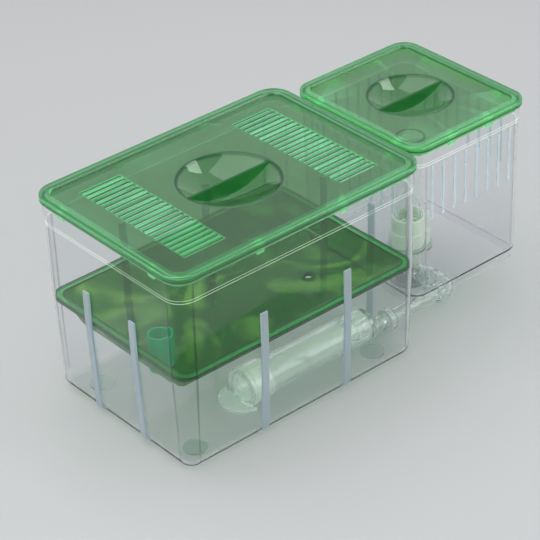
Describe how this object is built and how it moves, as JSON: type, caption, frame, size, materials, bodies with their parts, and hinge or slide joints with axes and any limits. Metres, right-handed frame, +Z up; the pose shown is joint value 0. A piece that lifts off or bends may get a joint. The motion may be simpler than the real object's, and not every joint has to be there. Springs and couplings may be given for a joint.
{
  "type": "fish tank",
  "caption": "Clear tub with a slotted green lift-off lid and an inner waste tray, piped to a smaller raised tub with its own lid and a standpipe.",
  "frame": {"origin": "on the table, under the middle of the whole set's bounding box", "axes": "+X along the set, from the large tank towards the small tank; +Y away from the side with the drain tube; +Z up"},
  "size_m": [0.4596, 0.2154, 0.2174],
  "materials": {
    "clear_tank": "clear moulded polystyrene, gloss",
    "green_lid": "tinted translucent green, gloss",
    "green_tray": "tinted translucent yellow green, gloss",
    "green_post": "deep green, gloss",
    "clear_tube": "clear thick tube, faint green, gloss",
    "clear_fitting": "clear moulded fitting, faint green, gloss",
    "milky_fitting": "milky pale green, satin",
    "foot_pad": "clear disc, satin",
    "seal": "soft translucent silicone, satin"
  },
  "bodies": {
    "base": {"main_tank": "clear_tank", "foot_pad_front_left": "foot_pad", "foot_pad_front_right": "foot_pad", "foot_pad_back_left": "foot_pad", "foot_pad_back_right": "foot_pad", "small_tank": "clear_tank", "intake_fitting": "clear_fitting", "drain_tube": "clear_tube", "tube_reducer": "clear_fitting", "wall_gasket": "seal", "wall_nut": "clear_fitting", "link_pipe": "clear_tube", "corner_elbow": "clear_fitting", "cross_pipe": "clear_tube", "riser_elbow": "clear_fitting", "floor_gasket": "seal", "floor_nut": "milky_fitting", "standpipe_socket": "milky_fitting", "standpipe_o_ring": "seal"},
    "main_lid": {"main_lid": "green_lid"},
    "small_lid": {"small_lid": "green_lid"},
    "tray": {"tray": "green_tray", "tray_post": "green_post"},
    "standpipe": {"standpipe": "clear_tube"}
  },
  "joints": [
    {"name": "main_lid_lift", "type": "slide", "parent": "base", "child": "main_lid", "axis": [0, 0, 1], "range_m": [0, 0.06]},
    {"name": "small_lid_lift", "type": "slide", "parent": "base", "child": "small_lid", "axis": [0, 0, 1], "range_m": [0, 0.06]},
    {"name": "tray_lift", "type": "slide", "parent": "base", "child": "tray", "axis": [0, 0, 1], "range_m": [0, 0.06]},
    {"name": "standpipe_lift", "type": "slide", "parent": "base", "child": "standpipe", "axis": [0, 0, 1], "range_m": [0, 0.024]}
  ]
}
